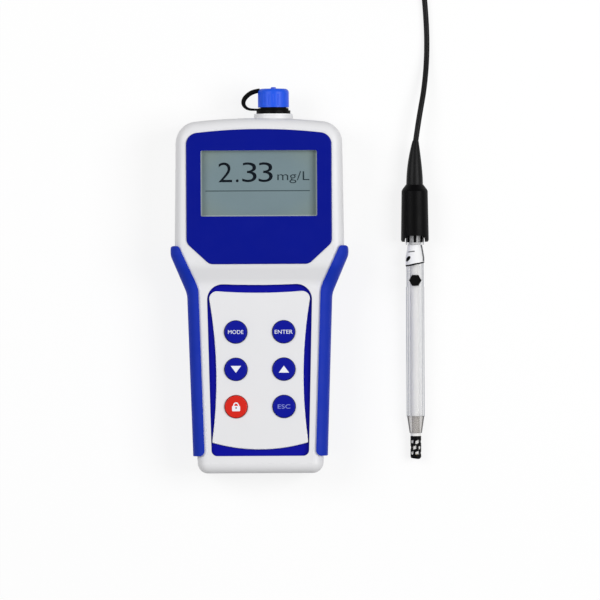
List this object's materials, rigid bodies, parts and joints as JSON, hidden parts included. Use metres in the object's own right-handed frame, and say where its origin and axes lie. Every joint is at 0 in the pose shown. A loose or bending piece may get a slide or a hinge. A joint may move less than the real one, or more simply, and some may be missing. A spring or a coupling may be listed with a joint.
{
  "type": "dissolved ozone meter",
  "caption": "Handheld dissolved ozone meter with display, round keys, soft side grips and capped connector, with a slim glass-tube probe on a coiled cable.",
  "frame": {"origin": "centre of the meter's flat rear face, halfway between its top and bottom edges; the meter lies on its back", "axes": "+Z out of the display, +Y from the keypad to the head and connector, +X to the right of the face"},
  "size_m": [0.1431, 0.3158, 0.0369],
  "materials": {
    "shell_abs": "fine moulded texture",
    "grip_elastomer": "satin",
    "bezel_blue": "satin",
    "window_clear": "polished",
    "lcd_grey": "matte",
    "holder_white": "moulded",
    "surround_blue": "satin",
    "key_blue": "satin",
    "key_red": "satin",
    "silicone_grey": "matte",
    "board_green": "solder mask",
    "steel": "plated",
    "brass_plated": "gold plated",
    "black_moulding": "satin",
    "chip_black": "matte",
    "seal_black": "matte",
    "cap_blue": "satin",
    "cell_wrap": "gloss",
    "tube_clear": "polished",
    "stem_white": "satin",
    "sleeve_white": "satin",
    "cable_black": "matte",
    "silver": "bright"
  },
  "bodies": {
    "meter": {"front_shell": "shell_abs", "rear_shell": "shell_abs", "shell_gasket": "seal_black", "housing_screws": "steel", "grip_left": "grip_elastomer", "grip_right": "grip_elastomer", "display_bezel": "bezel_blue", "display_window": "window_clear", "lcd_panel": "lcd_grey", "lcd_holder": "holder_white", "backlight": "holder_white", "keypad_surround": "surround_blue", "keypad_plate": "shell_abs", "keypad_mat": "silicone_grey", "dome_switches": "steel", "main_board": "board_green", "board_screws": "steel", "board_chips": "chip_black", "connector_socket": "black_moulding", "connector_insert": "black_moulding", "connector_pins": "brass_plated", "connector_nut": "steel", "connector_seal": "seal_black", "cap_strap": "seal_black", "battery_door": "shell_abs", "battery_door_seal": "seal_black", "battery_door_screws": "steel", "battery_cells": "cell_wrap", "battery_contacts": "steel"},
    "mode_key": {"key_mode": "key_blue"},
    "enter_key": {"key_enter": "key_blue"},
    "down_key": {"key_down": "key_blue"},
    "up_key": {"key_up": "key_blue"},
    "lock_key": {"key_lock": "key_red"},
    "escape_key": {"key_escape": "key_blue"},
    "dust_cap": {"connector_cap": "cap_blue"},
    "probe": {"probe_head": "black_moulding", "strain_relief": "cable_black", "neck_collar": "tube_clear", "neck_seal": "seal_black", "neck_sleeve": "sleeve_white", "probe_tube": "tube_clear", "probe_stem": "stem_white", "reference_wire": "silver", "tip_collar": "tube_clear", "tip_core": "stem_white", "sensing_disc": "brass_plated", "guard_ring": "seal_black", "cable": "cable_black", "cable_tail": "cable_black", "cable_coil": "cable_black", "cable_tie": "seal_black", "plug_relief": "cable_black", "plug_shell": "black_moulding", "plug_nose": "black_moulding", "plug_contacts": "brass_plated"},
    "fill_stopper": {"fill_plug": "seal_black"},
    "guard": {"tip_guard": "black_moulding"},
    "coupling_ring": {"plug_ring": "black_moulding"}
  },
  "joints": [
    {"name": "mode_press", "type": "slide", "parent": "meter", "child": "mode_key", "axis": [0, 0, -1], "range_m": [0, 0.001], "stiffness_N_per_m": 800, "springref_m": -0.001},
    {"name": "enter_press", "type": "slide", "parent": "meter", "child": "enter_key", "axis": [0, 0, -1], "range_m": [0, 0.001], "stiffness_N_per_m": 800, "springref_m": -0.001},
    {"name": "down_press", "type": "slide", "parent": "meter", "child": "down_key", "axis": [0, 0, -1], "range_m": [0, 0.001], "stiffness_N_per_m": 800, "springref_m": -0.001},
    {"name": "up_press", "type": "slide", "parent": "meter", "child": "up_key", "axis": [0, 0, -1], "range_m": [0, 0.001], "stiffness_N_per_m": 800, "springref_m": -0.001},
    {"name": "lock_press", "type": "slide", "parent": "meter", "child": "lock_key", "axis": [0, 0, -1], "range_m": [0, 0.001], "stiffness_N_per_m": 800, "springref_m": -0.001},
    {"name": "escape_press", "type": "slide", "parent": "meter", "child": "escape_key", "axis": [0, 0, -1], "range_m": [0, 0.001], "stiffness_N_per_m": 800, "springref_m": -0.001},
    {"name": "cap_pull", "type": "slide", "parent": "meter", "child": "dust_cap", "axis": [0, 1, 0], "range_m": [0, 0.0085]},
    {"name": "probe_lift", "type": "slide", "parent": "meter", "child": "probe", "axis": [0, 0, 1], "range_m": [0, 0.12]},
    {"name": "stopper_pull", "type": "slide", "parent": "probe", "child": "fill_stopper", "axis": [0, -0.0263, 0.9997], "range_m": [0, 0.008]},
    {"name": "guard_pull", "type": "slide", "parent": "probe", "child": "guard", "axis": [0, -0.9997, -0.0263], "range_m": [0, 0.016]},
    {"name": "ring_turn", "type": "hinge", "parent": "probe", "child": "coupling_ring", "pos_m": [-0.012, 0.2096, 0.0087], "axis": [-1, 0, 0], "continuous": true}
  ]
}
